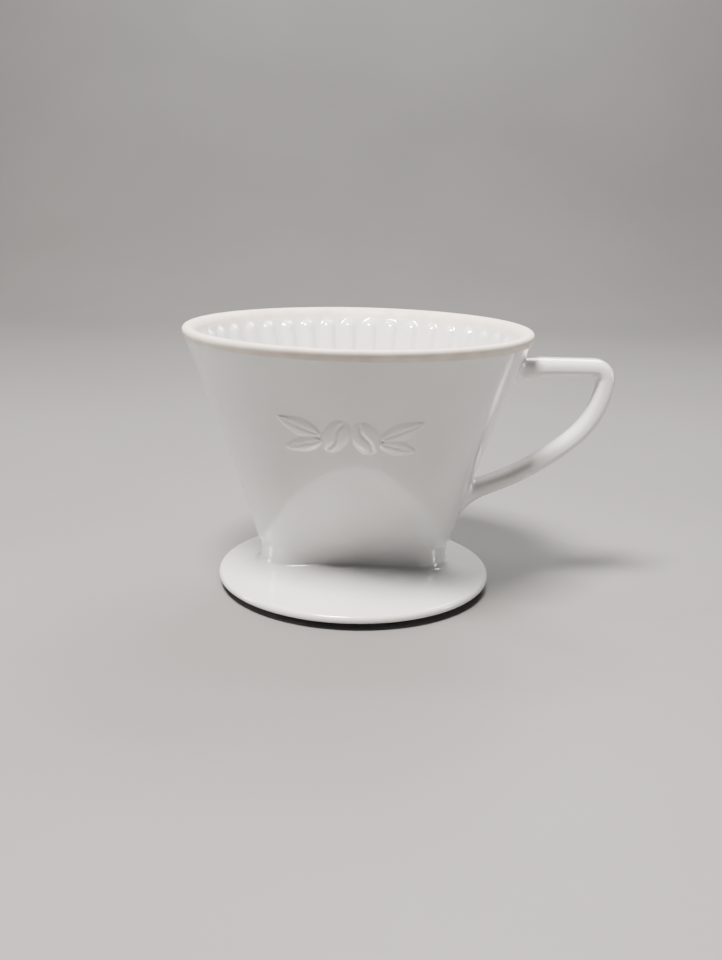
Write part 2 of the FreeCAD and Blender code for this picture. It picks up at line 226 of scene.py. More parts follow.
def leafRise(u, v, length, halfWidth):
    # a pointed blade with a sunk midrib
    along = u / length
    if not 0 < along < 1:
        return 0
    half = halfWidth * math.sin(math.pi * along**0.8) ** 0.85
    across = min(abs(v) / max(half, 0.01), 1)
    rib = 0.4 * math.exp(-((v / 0.4) ** 2)) * smooth((1 - along) / 0.2)
    return max(0.72 * (1 - across**2.4) ** 0.8 - rib * (1 - across), 0) * smooth(half / 0.9)


def reliefRise(x, z):
    # how far the sprig on the front stands out of the wall
    u, v = x - reliefShape["middle"][0], z - reliefShape["middle"][1]
    rise = 0
    for kind, pieces in ((beanRise, reliefShape["beans"]), (leafRise, reliefShape["leaves"])):
        for placeU, placeV, turn, length, half in pieces:
            turn = math.radians(turn)
            nearU, nearV = u - placeU, v - placeV
            along = nearU * math.cos(turn) + nearV * math.sin(turn)
            across = nearV * math.cos(turn) - nearU * math.sin(turn)
            rise = max(rise, kind(along, across, length, half))
    return rise * reliefShape["rise"]


def insidePoint(arc, share, height):
    # the inner wall is made of straight lines from its floor to its mouth
    rise = (height - coneShape["floorHeight"]) / (rimHeight - coneShape["floorHeight"])
    foot = ovalPoint(coneShape["floor"], arc, share)
    return between(foot, ovalPoint(coneShape["mouth"], arc, share), rise)


def ribPlace(column):
    # the arc, the share of it, and how far round from the middle of its rib a column is
    ribs = column / coneShape["columnsPerRib"]
    for arc, count in enumerate(coneShape["ribs"]):
        if ribs <= count or arc == 3:
            return arc, min(ribs / count, 1), ribs % 1 - 0.5
        ribs -= count


def ribRise(arc, place, height, phase):
    # a round ridge with an arched top, soft where it meets the wall
    share = (height - coneShape["floorHeight"]) / (coneShape["ribTop"] - coneShape["floorHeight"])
    half = coneShape["ribHalf"][0] + (coneShape["ribHalf"][1] - coneShape["ribHalf"][0]) * min(share, 1)
    rise = coneShape["ribRise"][0] + (coneShape["ribRise"][1] - coneShape["ribRise"][0]) * min(share, 1)
    step = 0.5 / coneShape["ribs"][arc]
    before, after = (insidePoint(arc, place + side * step, height) for side in (-1, 1))
    aside = phase * math.dist(before[:2], after[:2])
    above = max(height - coneShape["ribTop"], 0) * 1.12
    away = min(math.hypot(aside, above) / half, 1)
    return rise * (1 - away**2.6) ** 1.25


def bezier(a, b, c, d, t):
    s = 1 - t
    return tuple(
        s**3 * p + 3 * s * s * t * q + 3 * s * t * t * r + t**3 * w for p, q, r, w in zip(a, b, c, d)
    )


lipRows = 9
footInsets = (11.5, 8, 4, 1)  # rows under the neck, in from its edge
# heights of the rows: close together at the ledge, the relief and the tops of the ribs
outsideRows = [neckFoot, 8, 10, 11.5] + [12.5 + 0.5 * step for step in range(14)] + [20.2, 22]
outsideRows += [27, 32, 37, 42, 47, 52] + [54.5 + 0.55 * step for step in range(37)]
outsideRows += [77, 82, 87, 90, 92.4]
insideRows = [92.6, 92.0, 91.6] + [91.6 - 0.4 * step for step in range(1, 10)]
insideRows += [87.2, 86, 84, 81] + [81 - 5.6 * step for step in range(1, 13)]
# height, and how far in from the wall, of the round corner and the flat of the floor
floorRows = [(12.2, 0), (11.5, 0.1), (10.9, 0.4), (10.45, 0.85), (10.15, 1.4)]
floorRows += [(10, 2.1), (10, 3.2), (10, 5.6)]


def coneColumn(column):
    # one line of points: out under the neck, up the outside, over the lip, down the ribs, in over the floor
    arc, share, phase = ribPlace(column)
    line = []
    for inset in footInsets:
        x, y, _, _ = ovalPoint(grown(outsideSizes(neckFoot), -inset), arc, share)
        line.append((x, y if line else 0, neckFoot))
    for height in outsideRows:
        x, y, outX, outY = ovalPoint(outsideSizes(height), arc, share)
        rise = reliefRise(x, height) if arc == 3 else 0
        line.append((x + outX * rise, y + outY * rise, height))
    lipFoot = rimHeight - coneShape["lipDepth"]
    outer = (*ovalPoint(wallSizes(lipFoot), arc, share)[:2], lipFoot)
    outerCorner = (*ovalPoint(wallSizes(rimHeight), arc, share)[:2], rimHeight)
    innerCorner = (*insidePoint(arc, share, rimHeight)[:2], rimHeight)
    inner = (*insidePoint(arc, share, lipFoot)[:2], lipFoot)
    crest = between(outerCorner, innerCorner, 0.5)
    for start, corner, end in ((outer, outerCorner, crest), (crest, innerCorner, inner)):
        for row in range(lipRows):
            pull = [between(point, corner, coneShape["lipPull"]) for point in (start, end)]
            line.append(bezier(start, pull[0], pull[1], end, row / lipRows))
    line.append(inner)
    for height in insideRows:
        x, y, outX, outY = insidePoint(arc, share, height)
        rise = ribRise(arc, share, height, phase)
        line.append((x - outX * rise, y - outY * rise, height))
    for height, inset in floorRows:
        x, y, outX, outY = insidePoint(arc, share, height)
        inset += ribRise(arc, share, height, phase) * max(1 - inset / 1.6, 0)
        line.append((x - outX * inset, y - outY * inset, height))
    line.append((line[-1][0], 0, line[-1][2]))
    return line


def makeDrainCutter():
    # three spools, each flared at both ends, so that the holes get round edges
    spools = []
    top = coneShape["floorHeight"]
    sides = coneShape["drainSides"]
    flare = coneShape["drainFlare"]
    past, wide, skin = 2, 3.4, 0.02  # how far a spool runs past each face, its flange, and a hair's gap
    bendHeight, bendOut = 0.3, 0.2
    profile = [(neckFoot - past, wide), (neckFoot - skin, flare), (neckFoot + bendHeight, bendOut)]
    profile += [(neckFoot + flare, 0), (top - flare, 0)]
    profile += [(top - bendHeight, bendOut), (top + skin, flare), (top + past, wide)]
    for number in (-1, 0, 1):
        middle = number * coneShape["drainSpacing"]

        def spoolPoint(column, row):
            height, extra = profile[row]
            radius = coneShape["drainRadius"] + extra
            angle = 2 * math.pi * column / sides
            return middle + radius * math.cos(angle), radius * math.sin(angle), height

        spool = wrapGrid("spool", sides, len(profile) - 1, spoolPoint)
        closeEnds(spool)
        spools.append(spool)
    selectNothing()
    for spool in spools:
        spool.select_set(True)
    bpy.context.view_layer.objects.active = spools[0]
    bpy.ops.object.join()
    return spools[0]


def makeCone():
    columns = coneShape["columnsPerRib"] * sum(coneShape["ribs"])
    lines = [coneColumn(column) for column in range(columns + 1)]
    cone = wrapGrid("filterCone", columns, len(lines[0]) - 1, lambda column, row: lines[column][row])
    tidyMesh(cone, coneShape["smoothAngle"])
    cutAway(cone, makeDrainCutter())
    takeUp(cone)
    bpy.ops.object.shade_smooth_by_angle(angle=math.radians(coneShape["smoothAngle"]))
    standFor(cone, "filter_cone")
    return cone


cone = makeCone()
print("cone", len(cone.data.polygons))


plateShape = {
    "crown": 10.35,  # height that the dome would have at its middle, in millimetres
    "edgeTop": 5.2,
    "edgeRound": 1.12,
    "recessRoof": neckFoot,
    "ringInner": 29.0,
    "ringRound": 0.5,
    "beadRadius": 1.2,
    "topRings": (48.2, 45, 41.5, 38, 34, 30, 26, 22, 18, 14, 10, 6),
    "underRings": (47, 38, 27.8),  # the last is the recess
    "socketTop": 14,
    "socketColumns": 160,
    "smoothAngle": 30,
    "sides": 224,
}
plateLow, plateHigh = (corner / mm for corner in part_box("base_plate"))
ringLow, ringHigh = (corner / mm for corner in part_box("centering_ring"))
plateRadius = plateHigh.x
plateUnder = plateLow.z


def plateTop(x, y):
    # height of the dome over a point
    rise = plateShape["crown"] - plateShape["edgeTop"]
    domeRadius = (plateRadius**2 + rise**2) / (2 * rise)
    return plateShape["crown"] - domeRadius + math.sqrt(domeRadius**2 - x * x - y * y)


def pickFaces(piece, test):
    # selects the faces whose normal passes the test, from edit mode and back
    bpy.ops.mesh.select_mode(type="FACE")
    bpy.ops.mesh.select_all(action="DESELECT")
    bpy.ops.object.mode_set(mode="OBJECT")
    for face in piece.data.polygons:
        face.select = test(face.normal)
    bpy.ops.object.mode_set(mode="EDIT")


def pickEdges(piece, test):
    # selects the edges whose two ends, in millimetres, pass the test, from edit mode and back
    bpy.ops.mesh.select_mode(type="EDGE")
    bpy.ops.mesh.select_all(action="DESELECT")
    bpy.ops.object.mode_set(mode="OBJECT")
    points = [vertex.co / mm for vertex in piece.data.vertices]
    for edge in piece.data.edges:
        edge.select = test(*(points[end] for end in edge.vertices))
    bpy.ops.object.mode_set(mode="EDIT")


def insetTo(radius, newRadius, rise):
    # draws a selected disc in from one radius to another, and raises it
    slope = math.cos(math.pi / plateShape["sides"])
    bpy.ops.mesh.inset(thickness=(radius - newRadius) * slope * mm, depth=0, use_even_offset=True)
    bpy.ops.transform.translate(value=(0, 0, rise * mm))


def makeSocketCutter():
    # the neck's own outline, tall enough to go right through the plate's web
    columns = plateShape["socketColumns"]
    heights = (plateShape["recessRoof"] - 1, plateShape["socketTop"])

    def place(column, row):
        share = column / columns * 4
        arc = min(int(share), 3)
        x, y, _, _ = ovalPoint(coneShape["neck"], arc, share - arc)
        return x, y, heights[row]

    cutter = wrapGrid("socket", columns, 1, place)
    closeEnds(cutter)
    return cutter


def makePlate():
    height = plateShape["edgeTop"] - plateUnder
    middle = (plateShape["edgeTop"] + plateUnder) / 2
    selectNothing()
    bpy.ops.mesh.primitive_cylinder_add(
        vertices=plateShape["sides"],
        radius=plateRadius * mm,
        depth=height * mm,
        location=(0, 0, middle * mm),
    )
    plate = bpy.context.active_object
    plate.name = "basePlate"
    bpy.ops.object.transform_apply(location=True)
    bpy.ops.object.mode_set(mode="EDIT")
    pickFaces(plate, lambda normal: normal.z > 0.9)
    radius = plateRadius
    for newRadius in plateShape["topRings"]:
        insetTo(radius, newRadius, plateTop(newRadius, 0) - plateTop(radius, 0))
        radius = newRadius
    pickFaces(plate, lambda normal: normal.z < -0.9)
    radius = plateRadius
    for newRadius in plateShape["underRings"]:
        insetTo(radius, newRadius, 0)
        radius = newRadius
    bpy.ops.mesh.extrude_region_move(
        TRANSFORM_OT_translate={"value": (0, 0, (plateShape["recessRoof"] - plateUnder) * mm)}
    )
    pickEdges(plate, onPlateRim)
    bpy.ops.mesh.bevel(offset=plateShape["edgeRound"] * mm, segments=7, profile=0.5)
    bpy.ops.object.mode_set(mode="OBJECT")
    cutAway(plate, makeSocketCutter())
    tidyMesh(plate, plateShape["smoothAngle"])
    standFor(plate, "base_plate")
    return plate


def onPlateRim(start, end):
    # the two level edges at the plate's full radius
    reach = min(math.hypot(*point.xy) for point in (start, end))
    return reach > plateRadius - 0.01 and abs(start.z - end.z) < 0.01


def spinRing(name, profile):
    # a closed outline of radius and height is turned once round the Z axis
    sides = plateShape["sides"]

    def place(column, row):
        radius, height = profile[row % len(profile)]
        angle = 2 * math.pi * column / sides
        return radius * math.cos(angle), radius * math.sin(angle), height

    ring = wrapGrid(name, sides, len(profile), place)
    tidyMesh(ring, plateShape["smoothAngle"])
    return ring


def makeRing():
    inner = plateShape["ringInner"]
    outer = ringHigh.x
    soft = plateShape["ringRound"]
    profile = [(inner, ringHigh.z)]
    for centre, start in ((inner + soft, 180), (outer - soft, 270)):
        for step in range(6):
            angle = math.radians(start + 18 * step)
            profile.append((centre + soft * math.cos(angle), ringLow.z + soft + soft * math.sin(angle)))
    profile.append((outer, ringHigh.z))
    ring = spinRing("centeringRing", profile)
    standFor(ring, "centering_ring")
    return ring


def makeRingBead():
    inner = plateShape["ringInner"]
    bead = plateShape["beadRadius"]
    profile = [(inner, plateUnder)]
    for step in range(9):
        angle = math.radians(90 * step / 8)
        profile.append((inner - bead + bead * math.sin(angle), plateUnder - bead + bead * math.cos(angle)))
    ring = spinRing("ringSlipBead", profile[::-1])
    standFor(ring, "ring_slip_bead")
    return ring


plate = makePlate()
ring = makeRing()
ringBead = makeRingBead()
print("plate and ring")


# side and end are the bead's radii at the long sides and at the ends of the neck
neckBeadShape = {"side": 1.1, "end": 2.3, "sink": 0.35, "columnsPerArc": 64, "rows": 10}
slipPull = 0.62  # how deep a fillet of slip is drawn towards its corner


def makeNeckBead():
    rows = neckBeadShape["rows"]

    def place(column, row):
        share = column / neckBeadShape["columnsPerArc"]
        arc = min(int(share), 3)
        x, y, outX, outY = ovalPoint(coneShape["neck"], arc, share - arc)
        radius = between((neckBeadShape["side"],), (neckBeadShape["end"],), smooth(abs(outX) * 1.1))[0]
        corner = (x, y, plateTop(x, y))
        topX, topY = ovalPoint(outsideSizes(corner[2] + radius), arc, share - arc)[:2]
        top = (topX, topY, corner[2] + radius)
        farX, farY = x + outX * radius, y + outY * radius
        foot = (farX, farY, plateTop(farX, farY))
        if row > rows:
            sink = neckBeadShape["sink"]
            return x - outX * sink, y - outY * sink, corner[2] - sink
        pull = [between(end, corner, slipPull) for end in (top, foot)]
        return bezier(top, pull[0], pull[1], foot, row / rows)

    loop = rows + 2
    bead = wrapGrid("neckSlipBead", 4 * neckBeadShape["columnsPerArc"], loop, lambda c, r: place(c, r % loop))
    tidyMesh(bead, plateShape["smoothAngle"])
    standFor(bead, "neck_slip_bead")
    return bead


neckBead = makeNeckBead()
print("neck bead")


handleShape = {
    "armHeight": 83.2,
    "armStart": 50.0,
    "corner": 4.6,
    "grip": 31.8,
    "gripCentre": (58.2, 80.4),
    "gripEnd": -48.7,  # where the grip hands over to the sweep, in degrees
    "sweep": 97.5,
    "sweepTurn": 34.0,  # how far the sweep runs, in degrees
    "halfWidth": 4.75,
    "halfThick": 3.3,
    "squareness": 2.45,
    "columns": 64,
    "rows": 150,
    "smoothAngle": 40,
    "buried": 0.6,  # how far its two ends run into the wall
    "flare": {"upper": (2.3, 15.0), "lower": (1.0, 12.0)},  # how deep and how long the underside swells
}


def handleArcs():
    # the centre line as arcs: centre, radius, first angle and last angle, all turning clockwise
    gripX, gripZ = handleShape["gripCentre"]
    grip, corner, sweep = handleShape["grip"], handleShape["corner"], handleShape["sweep"]
    rise = handleShape["armHeight"] - corner - gripZ
    cornerX = gripX + math.sqrt((grip - corner) ** 2 - rise**2)
    lean = math.atan2(rise, cornerX - gripX)
    leave = math.radians(handleShape["gripEnd"])
    sweepX = gripX - (sweep - grip) * math.cos(leave)
    sweepZ = gripZ - (sweep - grip) * math.sin(leave)
    return [
        ((cornerX, gripZ + rise), corner, math.pi / 2, lean),
        ((gripX, gripZ), grip, lean, leave),
        ((sweepX, sweepZ), sweep, leave, leave - math.radians(handleShape["sweepTurn"])),
    ]


arcs = handleArcs()
armLength = arcs[0][0][0] - handleShape["armStart"]
handleLength = armLength + sum(radius * (first - last) for _, radius, first, last in arcs)


def handleLine(along):
    # the centre line's point and the way on, in the XZ plane
    if along < armLength:
        return handleShape["armStart"] + along, handleShape["armHeight"], 1, 0
    along -= armLength
    for (x, z), radius, first, last in arcs:
        if along <= radius * (first - last) or radius == handleShape["sweep"]:
            angle = first - along / radius
            outX, outZ = math.cos(angle), math.sin(angle)
            return x + radius * outX, z + radius * outZ, outZ, -outX
        along -= radius * (first - last)


def handlePoint(along, turn, roots):
    # a point on the handle's skin; turn 90 degrees is its outer side
    x, z, wayX, wayZ = handleLine(along)
    power = 2 / handleShape["squareness"]
    across = math.copysign(abs(math.cos(turn)) ** power, math.cos(turn)) * handleShape["halfWidth"]
    out = math.copysign(abs(math.sin(turn)) ** power, math.sin(turn)) * handleShape["halfThick"]
    for root, below, distance in (("upper", -1, along - roots[0]), ("lower", 1, roots[1] - along)):
        depth, length = handleShape["flare"][root]
        swell = depth * max(1 - max(distance, 0) / length, 0) ** 2
        out += below * swell * max(below * math.sin(turn), 0)
    return x - wayZ * out, across, z + wayX * out


def wallX(y, z):
    # how far out the cone's wall is, at its handle end
    halfLength, _, endRadius = wallSizes(z)
    return halfLength - endRadius + math.sqrt(endRadius**2 - y * y)


def rootOf(turn, low, high, roots, depth=0.0):
    # how far along the handle its skin meets the wall, by halving
    def outside(along):
        x, y, z = handlePoint(along, turn, roots)
        return x - wallX(y, z) + depth > 0

    atLow = outside(low)
    for _ in range(40):
        middle = (low + high) / 2
        if outside(middle) == atLow:
            low = middle
        else:
            high = middle
    return low


halfWay = handleLength / 2
noRoots = (-99, handleLength + 99)
handleRoots = (rootOf(0, 0, halfWay, noRoots), rootOf(0, handleLength, halfWay, noRoots))


def makeHandle():
    columns, rows = handleShape["columns"], handleShape["rows"]
    turns = [2 * math.pi * column / columns for column in range(columns + 1)]
    buried = handleShape["buried"]
    ends = [
        [rootOf(turn, tip, halfWay, handleRoots, buried) for tip in (0, handleLength)] for turn in turns
    ]

    def place(column, row):
        first, last = ends[column]
        return handlePoint(first + (last - first) * row / rows, turns[column], handleRoots)

    handle = wrapGrid("handle", columns, rows, place)
    closeEnds(handle)
    tidyMesh(handle, handleShape["smoothAngle"])
    handle.name = "loopHandle"
    standFor(handle, "handle")
    return handle


slipShape = {
    "upper": {"side": 1, "along": (1.8, 6.0), "away": (1.5, 4.5)},  # at the top and at the underside
    "lower": {"side": -1, "along": (2.0, 9.0), "away": (1.6, 6.5)},
    "sink": 0.4,
    "columns": 72,
    "rows": 12,
}


def makeSlip(root):
    shape = slipShape[root]
    rows, columns = slipShape["rows"], slipShape["columns"]
    start = 0 if root == "upper" else handleLength
    rootX, rootZ = handleLine(handleRoots[0 if root == "upper" else 1])[:2]

    def place(column, row):
        turn = 2 * math.pi * column / columns
        meet = rootOf(turn, start, halfWay, handleRoots)
        under = smooth((1 - shape["side"] * math.sin(turn)) / 2)
        along = shape["along"][0] + (shape["along"][1] - shape["along"][0]) * under
        away = shape["away"][0] + (shape["away"][1] - shape["away"][0]) * under
        corner = handlePoint(meet, turn, handleRoots)
        top = handlePoint(meet + shape["side"] * along, turn, handleRoots)
        sideways = Vector((corner[1], corner[2] - rootZ)).normalized() * away
        footY, footZ = corner[1] + sideways.x, corner[2] + sideways.y
        foot = (wallX(footY, footZ), footY, footZ)
        if row > rows:
            inward = between(corner, (rootX - 3, 0, rootZ), 0.08)
            return inward[0] - slipShape["sink"], inward[1], inward[2]
        pull = [between(end, corner, slipPull) for end in (top, foot)]
        return bezier(top, pull[0], pull[1], foot, row / rows)

    loop = rows + 2
    slip = wrapGrid(f"{root}HandleSlip", columns, loop, lambda column, row: place(column, row % loop))
    tidyMesh(slip, handleShape["smoothAngle"])
    standFor(slip, f"{root}_handle_slip")
    return slip


handle = makeHandle()
upperSlip = makeSlip("upper")
lowerSlip = makeSlip("lower")
print("handle")


def addNode(tree, kind, **settings):
    # a setting is a property of the node, or the value of the input with that name
    node = tree.nodes.new(f"ShaderNode{kind}")
    for name, value in settings.items():
        if hasattr(node, name):
            setattr(node, name, value)
        else:
            node.inputs[name.replace("_", " ")].default_value = value
    return node


def startGroup(name, inputs, outputs):
    # a shader node group with its sockets, and its two end nodes
    tree = bpy.data.node_groups.new(name, "ShaderNodeTree")
    for way, sockets in (("INPUT", inputs), ("OUTPUT", outputs)):
        for socket, kind in sockets.items():
            tree.interface.new_socket(name=socket, in_out=way, socket_type=f"NodeSocket{kind}")
    return tree, tree.nodes.new("NodeGroupInput"), tree.nodes.new("NodeGroupOutput")


def useGroup(tree, group, **values):
    node = tree.nodes.new("ShaderNodeGroup")
    node.node_tree = group
    for name, value in values.items():
        node.inputs[name].default_value = value
    return node


def addTimes(tree, first, second, factor):
    # first plus second times a factor
    node = addNode(tree, "Math", operation="MULTIPLY_ADD")
    tree.links.new(second, node.inputs[0])
    node.inputs[1].default_value = factor
    tree.links.new(first, node.inputs[2])
    return node.outputs[0]


def remap(tree, value, low, high, toLow=0.0, toHigh=1.0):
    node = addNode(tree, "MapRange", interpolation_type="SMOOTHSTEP")
    for socket, number in zip(("From Min", "From Max", "To Min", "To Max"), (low, high, toLow, toHigh)):
        node.inputs[socket].default_value = number
    tree.links.new(value, node.inputs["Value"])
    return node.outputs["Result"]


def noise(tree, place, scale, detail=2.0):
    node = addNode(tree, "TexNoise", Scale=scale, Detail=detail)
    tree.links.new(place, node.inputs["Vector"])
    return node.outputs["Fac"]


def blend(tree, mask, first, second):
    # a colour or a number that goes from the first to the second where the mask is 1
    colour = isinstance(second, tuple)
    node = addNode(tree, "Mix", data_type="RGBA" if colour else "FLOAT")
    sockets = (6, 7, 2) if colour else (2, 3, 0)
    tree.links.new(mask, node.inputs[0])
    for socket, value in zip(sockets, (first, second)):
        if isinstance(value, bpy.types.NodeSocket):
            tree.links.new(value, node.inputs[socket])
        else:
            node.inputs[socket].default_value = (*value, 1) if colour else value
    return node.outputs[sockets[2]]


# noise scales, in cells a metre
grainScales = {
    "slow": 55,
    "peel": 850,
    "haze": 120,
    "tone": 38,
    "specks": 130,
    "clay": 2600,
    "rubbed": 160,
    "wander": 90,
    "fray": 600,
    "floor": 6,
}


def makeGlazeSkin():
    # how fired glaze lies: slow waves, orange peel, thin crests, pooled corners and a few specks
    outputs = {name: "Float" for name in ("Height", "Haze", "Tone", "Thin", "Pool", "Speck")}
    inputs = {"Place": "Vector", "Wave": "Float", "Peel": "Float"}
    tree, start, end = startGroup("glazeSkin", inputs, outputs)
    place = start.outputs["Place"]
    slow = addNode(tree, "Math", operation="MULTIPLY")
    tree.links.new(noise(tree, place, grainScales["slow"], 1), slow.inputs[0])
    tree.links.new(start.outputs["Wave"], slow.inputs[1])
    fine = addNode(tree, "Math", operation="MULTIPLY")
    tree.links.new(noise(tree, place, grainScales["peel"], 1), fine.inputs[0])
    tree.links.new(start.outputs["Peel"], fine.inputs[1])
    tree.links.new(addTimes(tree, slow.outputs[0], fine.outputs[0], 1), end.inputs["Height"])
    haze = noise(tree, place, grainScales["haze"], 3)
    tone = noise(tree, place, grainScales["tone"], 3)
    tree.links.new(remap(tree, haze, 0.35, 0.7), end.inputs["Haze"])
    tree.links.new(remap(tree, tone, 0.3, 0.7), end.inputs["Tone"])
    bend = addNode(tree, "NewGeometry").outputs["Pointiness"]
    tree.links.new(remap(tree, bend, 0.505, 0.57), end.inputs["Thin"])
    tree.links.new(remap(tree, bend, 0.495, 0.43), end.inputs["Pool"])
    cells = addNode(tree, "TexVoronoi", Scale=grainScales["specks"])
    tree.links.new(place, cells.inputs["Vector"])
    pick = addNode(tree, "SeparateColor")
    tree.links.new(cells.outputs["Color"], pick.inputs[0])
    dot = remap(tree, cells.outputs["Distance"], 0.035, 0.015)
    rare = remap(tree, pick.outputs[0], 0.962, 0.966)
    speck = addNode(tree, "Math", operation="MULTIPLY")
    tree.links.new(dot, speck.inputs[0])
    tree.links.new(rare, speck.inputs[1])
    tree.links.new(speck.outputs[0], end.inputs["Speck"])
    return tree


def makeBareClay():
    # unglazed porcelain: a dry warm body with fine grain and rubbed patches
    outputs = {"Colour": "Color", "Height": "Float", "Dryness": "Float"}
    tree, start, end = startGroup("bareClay", {"Place": "Vector"}, outputs)
    place = start.outputs["Place"]
    grain = noise(tree, place, grainScales["clay"], 2)
    patch = remap(tree, noise(tree, place, grainScales["rubbed"], 3), 0.35, 0.68)
    colour = blend(tree, patch, (0.80, 0.735, 0.665), (0.74, 0.665, 0.59))
    tree.links.new(colour, end.inputs["Colour"])
    tree.links.new(grain, end.inputs["Height"])
    tree.links.new(remap(tree, patch, 0, 1, 0.52, 0.66), end.inputs["Dryness"])
    return tree


def makeGlazeLine():
    # where the glaze was wiped off: 1 past a height, with a soft border that wanders
    inputs = {"Place": "Vector", "Line": "Float", "Side": "Float", "Wander": "Float", "Softness": "Float"}
    tree, start, end = startGroup("glazeLine", inputs, {"Mask": "Float"})
    place = start.outputs["Place"]
    height = addNode(tree, "SeparateXYZ")
    tree.links.new(place, height.inputs[0])
    above = addNode(tree, "Math", operation="SUBTRACT")
    tree.links.new(height.outputs["Z"], above.inputs[0])
    tree.links.new(start.outputs["Line"], above.inputs[1])
    sided = addNode(tree, "Math", operation="MULTIPLY")
    tree.links.new(above.outputs[0], sided.inputs[0])
    tree.links.new(start.outputs["Side"], sided.inputs[1])
    wander = addNode(tree, "Math", operation="MULTIPLY")
    broad = noise(tree, place, grainScales["wander"], 3)
    ragged = noise(tree, place, grainScales["fray"], 2)
    tree.links.new(addTimes(tree, broad, ragged, 0.35), wander.inputs[0])
    tree.links.new(start.outputs["Wander"], wander.inputs[1])
    total = addTimes(tree, sided.outputs[0], wander.outputs[0], 1)
    ramp = addNode(tree, "MapRange", interpolation_type="SMOOTHSTEP")
    tree.links.new(total, ramp.inputs["Value"])
    tree.links.new(start.outputs["Softness"], ramp.inputs["From Max"])
    tree.links.new(ramp.outputs[0], end.inputs["Mask"])
    return tree


glazeIor = 1.52
tones = {
    "thin": (0.83, 0.80, 0.755),  # on crests, where the clay shows through
    "pooled": (0.72, 0.745, 0.745),
    "speck": (0.28, 0.22, 0.17),
    "clay": (0.8, 0.73, 0.66),
}
glazeSkin = makeGlazeSkin()
bareClay = makeBareClay()
glazeLine = makeGlazeLine()
glazeLooks = {
    # white and deep are the two tones that drift over the surface, wave is the height of its slow waves,
    # and line is the height in metres where bare clay starts, with the side of it that is bare
    "coneGlaze": {
        "white": (0.80, 0.80, 0.79),
        "deep": (0.765, 0.77, 0.765),
        "wave": 0.05,
        "line": (0.0924, 1),
    },
    "plateGlaze": {"white": (0.81, 0.81, 0.80), "deep": (0.775, 0.78, 0.775), "wave": 0.04, "line": None},
    "handleGlaze": {"white": (0.81, 0.805, 0.79), "deep": (0.775, 0.775, 0.765), "wave": 0.03, "line": None},
    "slipGlaze": {"white": (0.80, 0.80, 0.79), "deep": (0.755, 0.765, 0.765), "wave": 0.05, "line": None},
    "ringGlaze": {
        "white": (0.80, 0.80, 0.79),
        "deep": (0.76, 0.765, 0.76),
        "wave": 0.04,
        "line": (0.0004, -1),
    },
}


def makeGlaze(name, look):
    material = bpy.data.materials.new(name)
    material.use_nodes = True
    tree = material.node_tree
    shader = tree.nodes["Principled BSDF"]
    shader.inputs["IOR"].default_value = glazeIor
    shader.inputs["Coat Weight"].default_value = 1
    shader.inputs["Coat IOR"].default_value = glazeIor
    shader.inputs["Coat Roughness"].default_value = 0.035
    shader.inputs["Subsurface Weight"].default_value = 0.1
    shader.inputs["Subsurface Radius"].default_value = (1.0, 0.85, 0.7)
    shader.inputs["Subsurface Scale"].default_value = 1.2 * mm
    place = addNode(tree, "TexCoord").outputs["Object"]
    skin = useGroup(tree, glazeSkin, Wave=look["wave"], Peel=0.0012)
    tree.links.new(place, skin.inputs["Place"])
    colour = blend(tree, skin.outputs["Tone"], look["white"], look["deep"])
    colour = blend(tree, remap(tree, skin.outputs["Thin"], 0, 1, 0, 0.6), colour, tones["thin"])
    colour = blend(tree, remap(tree, skin.outputs["Pool"], 0, 1, 0, 0.7), colour, tones["pooled"])
    colour = blend(tree, skin.outputs["Speck"], colour, tones["speck"])
    rough = remap(tree, skin.outputs["Haze"], 0, 1, 0.13, 0.22)
    height = skin.outputs["Height"]
    if look["line"]:
        line, side = look["line"]
        border = useGroup(tree, glazeLine, Line=line, Side=side, Wander=0.5 * mm, Softness=0.7 * mm)
        bare = useGroup(tree, bareClay)
        for group in (border, bare):
            tree.links.new(place, group.inputs["Place"])
        colour = blend(tree, border.outputs["Mask"], colour, tones["clay"])
        tree.links.new(bare.outputs["Colour"], colour.node.inputs[7])
        tree.links.new(remap(tree, border.outputs["Mask"], 0, 1, 1, 0), shader.inputs["Coat Weight"])
        rough = blend(tree, border.outputs["Mask"], rough, 0.6)
        tree.links.new(bare.outputs["Dryness"], rough.node.inputs[3])
        height = blend(tree, border.outputs["Mask"], height, 0.0)
        grain = addNode(tree, "Math", operation="MULTIPLY")
        grain.inputs[1].default_value = 0.02
        tree.links.new(bare.outputs["Height"], grain.inputs[0])
        tree.links.new(grain.outputs[0], height.node.inputs[3])
    bump = addNode(tree, "Bump", Strength=1, Distance=mm)
    tree.links.new(height, bump.inputs["Height"])
    tree.links.new(colour, shader.inputs["Base Color"])
    tree.links.new(rough, shader.inputs["Roughness"])
    tree.links.new(bump.outputs["Normal"], shader.inputs["Normal"])
    return material


finishes = {name: makeGlaze(name, look) for name, look in glazeLooks.items()}
for piece, finish in (
    (cone, "coneGlaze"),
    (plate, "plateGlaze"),
    (handle, "handleGlaze"),
    (upperSlip, "slipGlaze"),
    (lowerSlip, "slipGlaze"),
    (neckBead, "slipGlaze"),
    (ring, "ringGlaze"),
    (ringBead, "slipGlaze"),
):
    piece.data.materials.clear()
    piece.data.materials.append(finishes[finish])
print("materials")


